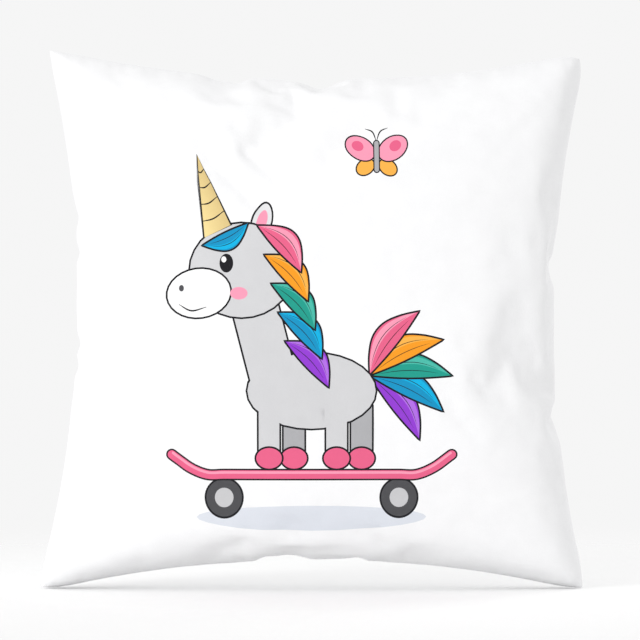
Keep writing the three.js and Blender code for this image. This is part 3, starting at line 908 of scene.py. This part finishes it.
def make_back_panel(name, node, side, row_count):
    """The back's upper part (side 1) or lower part (side -1), from its rim to its folded edge."""
    s_line = np.sin(np.linspace(-math.pi / 2, math.pi / 2, back_columns + 1))
    s_line = 0.5 * s_line + 0.5 * np.linspace(-1, 1, back_columns + 1)
    x_line, _ = flat_to_outline(s_line, np.full(len(s_line), zip_flat_row))
    opening = 1 - eased(np.abs(x_line), slit_half_length - slit_closing, slit_half_length)
    edge = seam_gap + (slit_half_width - seam_gap) * opening
    edge_z = zip_z - middle_height + side * edge * math.cos(zip_tilt)
    edge_t = flat_row_at(s_line, edge_z)
    steps = (1 - np.cos(np.linspace(0, math.pi, row_count + 1))) / 2
    steps = 0.5 * steps + 0.5 * np.linspace(0, 1, row_count + 1)
    rows = [side + (edge_t - side) * step for step in steps]
    s_grid, t_grid = np.tile(s_line, (len(rows), 1)), np.array(rows)
    grid = back_cloth(s_grid.ravel(), t_grid.ravel()).reshape(*s_grid.shape, 3)
    edge_line, before = grid[-1], grid[-2]
    across = edge_line - before
    across /= np.linalg.norm(across, axis=1)[:, None]
    along = np.gradient(edge_line, axis=0)
    outward = -side * np.cross(across, along)
    outward /= np.linalg.norm(outward, axis=1)[:, None]
    taper = np.clip((1 - np.abs(s_line)) * half_width / seam_allowance, thinnest_hem, 1)[:, None]
    radius = fold_radius * taper
    folded = []
    for turn in np.linspace(0, math.pi, fold_steps + 1)[1:]:
        folded.append(edge_line + radius * (math.sin(turn) * across * fold_bulge
                                            + (math.cos(turn) - 1) * outward))
    flat_back = [folded[-1] - across * hem_depth * taper * share for share in hem_rows]
    grid = np.concatenate([grid, np.array(folded), np.array(flat_back)])
    row_total, column_total = grid.shape[:2]
    down, right = np.gradient(grid, axis=0), np.gradient(grid, axis=1)
    facing = -side * np.cross(down, right)
    facing /= np.maximum(np.linalg.norm(facing, axis=2), 1e-12)[..., None]
    numbers = np.arange(row_total * column_total).reshape(row_total, column_total)
    quads = squares_of(numbers, flipped=side < 0)
    rim = [*numbers[::-1, 0], *numbers[0, 1:], *numbers[1:, -1]]
    u = np.tile((s_line + 1) / 2, (row_total, 1))
    v = np.tile(np.linspace(0, 1, row_total)[:, None], (1, column_total))
    panel = shell(name, grid.reshape(-1, 3), facing.reshape(-1, 3), quads, rim, False,
                  raw_edge=numbers[-1].tolist(), flat=np.stack([u.ravel(), v.ravel()], -1))
    panel.data.materials.append(back_cloth_finish)
    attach(panel, "cushion")
    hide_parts(node)
    share_of_cut = (side - (zip_z - middle_height) / half_height) * side / 2
    cut_width * share_of_cut + hem_depth


back_cloth_finish = white_cover_cloth("plain_cloth", False)
make_back_panel("back_cover_upper", "back_panel_upper", 1, upper_rows)
make_back_panel("back_cover_lower", "back_panel_lower", -1, lower_rows)


# ---- Stitches -----------------------------------------------------------------------------
# White polyester thread: the seam that holds front and back together, two rows of topstitching
# that hold the zip's tapes, and a dense tack across each end of the zip.
thread_radius = 0.2 * mm
stitch_length = 3.2 * mm
stitch_gap = 0.7 * mm
seam_inset = 1 * mm
topstitch_across = 7.7 * mm
stitch_rise = 0.5 * mm
stitch_dip = np.array((1, 0.15, 0, 0, 0.15, 1))[:, None]  # where the thread goes into the cloth
tack_half_length = 7 * mm
tack_half_width = 0.6 * mm
tack_pitch = 0.42 * mm


def tubes(name, paths, radius, sides=6, guide=(0, 1, 0)):
    """One piece of round thread or wire that follows its paths, each with closed ends."""
    points, faces, base = [], [], 0
    turns = np.arange(sides)[:, None] * 2 * math.pi / sides
    for path in paths:
        along = np.gradient(path, axis=0)
        first = np.cross(along, guide)
        first /= np.linalg.norm(first, axis=1)[:, None]
        second = np.cross(along, first)
        second /= np.linalg.norm(second, axis=1)[:, None]
        rings = path[:, None] + radius * (np.cos(turns) * first[:, None] + np.sin(turns) * second[:, None])
        points.append(rings.reshape(-1, 3))
        numbers = base + np.arange(len(path) * sides).reshape(len(path), sides)
        ahead = np.roll(numbers, -1, 1)
        quads = np.stack([numbers[:-1], ahead[:-1], ahead[1:], numbers[1:]], -1)
        faces += quads.reshape(-1, 4).tolist() + [numbers[0, ::-1].tolist(), numbers[-1].tolist()]
        base += len(path) * sides
    mesh = bpy.data.meshes.new(name)
    mesh.from_pydata(np.vstack(points).tolist(), [], faces)
    faced_out(mesh)
    return placed(name, mesh)


def spun_thread():
    """Glossy white polyester thread with the slant of its twist."""
    material, surface, start = new_finish("spun_thread", 0.45, {"Sheen Weight": 0.2})
    place = start.place()
    twist = start.node("ShaderNodeTexWave", {"bands_direction": "DIAGONAL"},
                       {"Vector": place, "Scale": 900.0, "Distortion": 1.5}, 1)
    feed(surface, "Base Color", twist.between(dye(226, 226, 230), dye(250, 250, 251)))
    feed(surface, "Normal", relief(start, twist, 0.4, 0.05 * mm))
    return material


thread_finish = spun_thread()


def sewn(piece, node):
    piece.data.materials.append(thread_finish)
    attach(piece, "cushion")
    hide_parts(node)


def seam_places(count):
    """Flat places all round the seam, in order."""
    way = np.linspace(-1, 1, count // 4 + 1)[:-1]
    edge = np.ones(len(way))
    return (np.concatenate([way, edge, -way, -edge]), np.concatenate([-edge, way, edge, -way]))


def seam_line(inset, count=2400):
    """Points along the seam, in step with the arc, and the whole length of it."""
    s, t = seam_places(count)
    x, z = flat_to_outline(s, t)
    line = np.stack([x, 0 * x, z + middle_height], -1) + wrinkle_at(0, s, t)
    line = drawn_in(np.vstack([line, line[:1]]), inset)
    reach = np.concatenate([[0], np.cumsum(np.linalg.norm(np.diff(line, axis=0), axis=1))])
    return line, reach


def seam_stitches(name, inset):
    line, reach = seam_line(inset)
    deeper = drawn_in(line, thread_radius * 2)
    count = int(reach[-1] / (stitch_length + stitch_gap))
    paths = []
    for k in range(count):
        start = reach[-1] * k / count
        way = np.linspace(start, start + stitch_length, len(stitch_dip))
        at = [np.stack([np.interp(way, reach, edge[:, axis]) for axis in range(3)], -1)
              for edge in (line, deeper)]
        paths.append((1 - stitch_dip) * at[0] + stitch_dip * at[1])
    return tubes(name, paths, thread_radius)


sewn(seam_stitches("edge_stitches", seam_inset), "edge_seam_thread")
for side, level in ((1, "upper"), (-1, "lower")):
    step = (stitch_length + stitch_gap) / zip_radius
    paths = []
    for k in range(int(2 * slit_angle / step)):
        share = np.linspace(0, 1, 7)
        angle = -slit_angle + (k + 0.5 * stitch_gap / (stitch_length + stitch_gap)) * step
        rise = stitch_rise * np.sin(math.pi * share) ** 0.5
        paths.append(zip_point(angle + share * stitch_length / zip_radius, side * topstitch_across,
                               rise - 0.1 * mm))
    sewn(tubes(f"topstitches_{level}", paths, thread_radius), f"zip_topstitch_{level}")
for side, end in ((1, "closed_end"), (-1, "open_end")):
    low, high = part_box(f"zip_bar_tack_{end}")
    tack_angle = math.asin((low.x + high.x) / 2 / zip_radius)
    passes = int(2 * tack_half_length / tack_pitch)
    zigzag = [(-1 + 2 * (k % 2), -tack_half_length + k * tack_pitch) for k in range(passes + 1)]
    angles = np.array([tack_angle + turn * tack_half_width / zip_radius for turn, _ in zigzag])
    path = zip_point(angles, np.array([across for _, across in zigzag]), stitch_rise)
    sewn(tubes(f"tack_{end}", [path], thread_radius, guide=(0, 1, 0.3)), f"zip_bar_tack_{end}")


# ---- Zip tapes and coils ------------------------------------------------------------------
# A nylon coil zip: two woven tapes, each with a coil of nylon wire sewn along its edge. The two
# coils close against each other.
coil_pitch = 1.5 * mm
coil_across = 1.63 * mm
coil_half_across = 0.88 * mm
coil_level = -1.3 * mm
coil_half_level = 0.58 * mm
coil_wire = 0.3 * mm
coil_points = 12  # in each turn


def woven_tape():
    material, surface, start = new_finish("woven_tape", 0.8, {"Sheen Weight": 0.2})
    place = start.place()
    along = start.node("ShaderNodeTexWave", {"bands_direction": "X"}, {"Vector": place, "Scale": 400.0}, 1)
    across = start.node("ShaderNodeTexWave", {"bands_direction": "Z"}, {"Vector": place, "Scale": 260.0}, 1)
    weave = (along + across) * 0.5
    feed(surface, "Base Color", weave.between(dye(226, 226, 228), dye(250, 250, 251)))
    feed(surface, "Normal", relief(start, weave, 0.6, 0.12 * mm))
    return material


def moulded_nylon(name, colour):
    """Nylon with faint flow marks, a little glossier on its high spots."""
    material, surface, start = new_finish(name, 0.32, {"Coat Weight": 0.15})
    place = start.place()
    flow = start.noise(place, 500.0)
    feed(surface, "Base Color", flow.between([0.9 * part for part in colour[:3]] + [1], colour))
    feed(surface, "Roughness", 0.26 + 0.14 * flow)
    feed(surface, "Normal", relief(start, flow, 0.3, 0.05 * mm))
    return material


def refinish(node, material):
    """A new material on a node that keeps its shape."""
    for finish_place in frame["nodes"][node].material_slots:
        finish_place.material = material


tape_finish = woven_tape()
coil_finish = moulded_nylon("nylon_coil", dye(246, 246, 247))
for side, level in ((1, "upper"), (-1, "lower")):
    refinish(f"zip_tape_{level}", tape_finish)
    end_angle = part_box(f"zip_coil_{level}")[1].x / zip_radius
    turn_count = 2 * end_angle * zip_radius / coil_pitch
    share = np.linspace(0, 1, int(turn_count * coil_points))
    turn = 2 * math.pi * (share * turn_count + (0 if side > 0 else 0.5))
    across = side * (coil_across + coil_half_across * np.cos(turn))
    path = zip_point(-end_angle + 2 * end_angle * share, across,
                     coil_level + coil_half_level * np.sin(turn))
    coil = tubes(f"coil_{level}", [path], coil_wire, sides=5, guide=(1, 0, 0))
    coil.data.materials.append(coil_finish)
    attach(coil, "cushion")
    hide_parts(f"zip_coil_{level}")


# ---- Slider, pull tab and stops -----------------------------------------------------------
# The slider is die-cast and nickel plated, with a bail over its top plate. The pressed tab hangs
# on the bail and folds flat either way. Small pressed stops end the coils, in the same metal.
def polished_nickel():
    material, surface, start = new_finish("polished_nickel", 0.25)
    surface.inputs["Metallic"].default_value = 1
    place = start.place()
    brushed = start.stretched(place, (1, 8, 8))
    marks = start.noise(brushed, 700.0, 3.0)
    worn = start.noise(place, 260.0)
    feed(surface, "Base Color", worn.between(dye(176, 177, 180), dye(214, 214, 216)))
    feed(surface, "Roughness", 0.18 + 0.2 * marks)
    feed(surface, "Normal", relief(start, marks, 0.25, 0.04 * mm))
    return material


nickel_finish = polished_nickel()
for stop in ("zip_top_stop_upper", "zip_top_stop_lower", "zip_bottom_stop"):
    refinish(stop, nickel_finish)
smallest_crease = math.radians(35)
edge_round = {"zip_slider_body": 0.25 * mm, "zip_pull_tab": 0.18 * mm}
for name, node, body in (("slider", "zip_slider_body", "zip_slider"), ("pull", "zip_pull_tab", "pull_tab")):
    piece = placed(name, frame["nodes"][node].data.copy())
    made = bmesh.new()
    made.from_mesh(piece.data)
    bmesh.ops.remove_doubles(made, verts=made.verts, dist=merge_distance)
    bmesh.ops.dissolve_limit(made, angle_limit=math.radians(2), verts=made.verts, edges=made.edges)
    made.to_mesh(piece.data)
    made.free()
    softened = piece.modifiers.new("softened_edges", "BEVEL")
    softened.width = edge_round[node]
    softened.segments = 3
    softened.limit_method = "ANGLE"
    softened.angle_limit = smallest_crease
    softened.harden_normals = True
    piece.data.shade_smooth()
    piece.data.set_sharp_from_angle(angle=math.radians(40))
    piece.data.materials.clear()
    piece.data.materials.append(nickel_finish)
    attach(piece, body)
    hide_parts(node)


# ---- Insert -------------------------------------------------------------------------------
# The cushion inside the cover: two squares of thin nonwoven cloth, sewn inside out, turned,
# stuffed, and closed by hand along the middle of the lower edge.
insert_inset = 12.5 * mm
insert_depth = 2.3 * mm
insert_zip_depth = 6.2 * mm
insert_thickness = 0.6 * mm
insert_allowance = 8 * mm
insert_cells = 72
closing_half_length = 60 * mm
closing_pitch = 4 * mm
closing_half_height = 1.1 * mm


def layer_within(cover, side, inset, depth, zip_depth):
    """A cloth that lies inside the cover's front (side -1) or back (side 1), clear of the zip."""
    share = 1 - inset / half_width

    def cloth(s, t):
        x, z = flat_to_outline(s, t)
        within = seam_lift + (front_crown - depth - seam_lift) * dome(s, t)
        x, z = x * share, z * share
        above = np.abs(cover(*outline_to_flat(x, z))[:, 1])
        recess = depth if side < 0 else depth + (zip_depth - depth) * zip_share(x, z + middle_height)
        y = np.maximum(seam_lift, np.minimum(within, above - recess))
        return np.stack([x, side * y, z + middle_height], -1)
    return cloth


def square_places(cells):
    """Flat places over a whole square, closer together beside its seam, and their numbers."""
    way = np.sin(np.linspace(-math.pi / 2, math.pi / 2, cells + 1))
    s, t = np.meshgrid(way, way)
    return s.ravel(), t.ravel(), np.arange((cells + 1) ** 2).reshape(cells + 1, -1)


def square_cloth(name, cloth, side):
    s, t, numbers = square_places(insert_cells)
    quads = squares_of(numbers, flipped=side > 0)
    rim = [*numbers[0, :-1], *numbers[:-1, -1], *numbers[-1, :0:-1], *numbers[:0:-1, 0]]
    return shell(name, cloth(s, t), normals_of(cloth, s, t, side), quads, rim, True,
                 flat=(np.stack([s, t], -1) + 1) / 2, cloth=insert_thickness, allowance=insert_allowance)


def nonwoven_cloth():
    """Thin pressed fibre cloth, dimpled by the dots that bond it."""
    material, surface, start = new_finish("nonwoven_cloth", 0.92, {"Sheen Weight": 0.1})
    place = start.place()
    dots = start.node("ShaderNodeTexVoronoi", {"feature": "F1"}, {"Vector": place, "Scale": 700.0})
    fibres = start.noise(place, 350.0, 4.0)
    feed(surface, "Base Color", fibres.between(dye(228, 228, 226), dye(247, 247, 245)))
    feed(surface, "Normal", relief(start, dots + 0.5 * fibres, 0.5, 0.2 * mm))
    return material


insert_finish = nonwoven_cloth()
for side, name, node, cover in ((-1, "insert_front", "insert_front_panel", front_cloth),
                                (1, "insert_back", "insert_back_panel", back_cloth)):
    cloth = layer_within(cover, side, insert_inset, insert_depth, insert_zip_depth)
    panel = square_cloth(name, cloth, side)
    panel.data.materials.append(insert_finish)
    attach(panel, "cushion")
    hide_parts(node)
sewn(seam_stitches("insert_stitches", insert_inset + seam_inset), "insert_seam_thread")


def closing_stitches():
    line, reach = seam_line(insert_inset - seam_inset)
    middle = reach[len(reach) // 8]
    count = int(2 * closing_half_length / closing_pitch)
    way = middle + np.linspace(-closing_half_length, closing_half_length, count * 8 + 1)
    path = np.stack([np.interp(way, reach, line[:, axis]) for axis in range(3)], -1)
    turn = 2 * math.pi * np.linspace(0, count, len(way))
    path[:, 1] += closing_half_height * np.cos(turn)
    path[:, 2] += 0.5 * closing_half_height * np.sin(turn)
    return tubes("closing_stitches", [path], thread_radius, guide=(0.2, 0.9, 0.4))


sewn(closing_stitches(), "insert_closing_stitch")


# ---- Stuffing -----------------------------------------------------------------------------
# Loose white polyester fibre, blown in. It fills the insert and lies in soft tufts against it.
fill_inset = 22 * mm
fill_depth = 5 * mm
fill_zip_depth = 9 * mm
fill_cells = 64
tuft_height = 1.6 * mm
tuft_across, tuft_up = 9 * mm, 11 * mm
drift_across, drift_up = 23 * mm, 17 * mm


def stuffing():
    s, t, numbers = square_places(fill_cells)
    points, faces = [], []
    for side, cover in ((-1, front_cloth), (1, back_cloth)):
        cloth = layer_within(cover, side, fill_inset, fill_depth, fill_zip_depth)
        found = cloth(s, t)
        tufts = (np.sin(found[:, 0] / tuft_across + 2 * np.sin(found[:, 2] / drift_up))
                 * np.sin(found[:, 2] / tuft_up + 1.7 * np.sin(found[:, 0] / drift_across)))
        inward = (1 - s**2) * (1 - t**2)
        found[:, 1] -= side * tuft_height * (1 + tufts) * inward
        found[:, 1] *= (np.abs(s) < 1) & (np.abs(t) < 1)
        points.append(found)
        faces += squares_of(numbers + (0 if side < 0 else numbers.size)).tolist()
    mesh = bpy.data.meshes.new("stuffing")
    mesh.from_pydata(np.vstack(points).tolist(), [], faces)
    faced_out(mesh, merged=True)
    return placed("stuffing", mesh)


def loose_fibre():
    material, surface, start = new_finish("loose_fibre", 0.95, {"Sheen Weight": 0.5})
    place = start.place()
    warped = start.noise(place, 45.0, 5.0)
    fibres = start.noise(place, 900.0, 6.0, 3.0)
    feed(surface, "Base Color", warped.between(dye(232, 232, 230), dye(252, 252, 251)))
    feed(surface, "Normal", relief(start, warped + 0.5 * fibres, 0.8, 1 * mm))
    return material


fill = stuffing()
fill.data.materials.append(loose_fibre())
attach(fill, "cushion")
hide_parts("fibre_fill")
